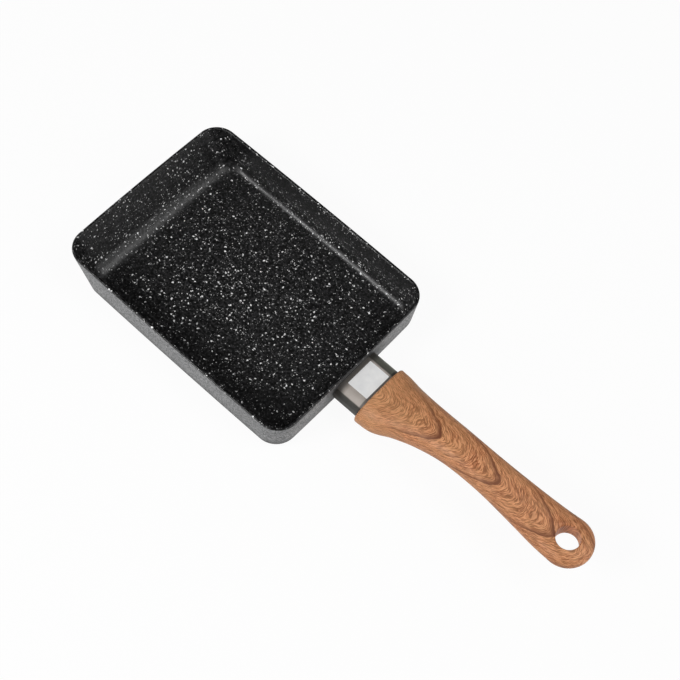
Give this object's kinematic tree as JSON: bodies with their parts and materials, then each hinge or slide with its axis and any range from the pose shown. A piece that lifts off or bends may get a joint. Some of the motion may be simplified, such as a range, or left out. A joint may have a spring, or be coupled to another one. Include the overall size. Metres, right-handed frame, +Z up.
{
  "type": "rectangular omelette pan",
  "caption": "Shallow rectangular omelette pan with a slanted far wall, a flattened metal flame guard and an arched moulded handle with a round hanging hole.",
  "frame": {"origin": "centre of the basin's base outline, on the surface that the pan stands on", "axes": "+X along the handle, away from the basin; +Y across the pan; +Z up"},
  "size_m": [0.3535, 0.134, 0.0438],
  "materials": {
    "coated_aluminium": "black stone-speckled non-stick coat inside and over the rim, finely speckled grey coat outside",
    "plate_steel": "plain rolled stainless sheet with punched dots",
    "guard_steel": "satin stainless tube, brushed along its length",
    "lug_aluminium": "as cast",
    "wood_look": "heat-proof moulding with a matt wood-grain print",
    "fastener_steel": "bright zinc plate",
    "foil": "bare silver foil label"
  },
  "bodies": {
    "root": {"pan_body": "coated_aluminium", "induction_plate": "plate_steel", "flame_guard": "guard_steel", "handle_lug": "lug_aluminium", "handle": "wood_look", "handle_screw": "fastener_steel", "flat_washer": "fastener_steel", "spring_washer": "fastener_steel"}
  },
  "joints": []
}
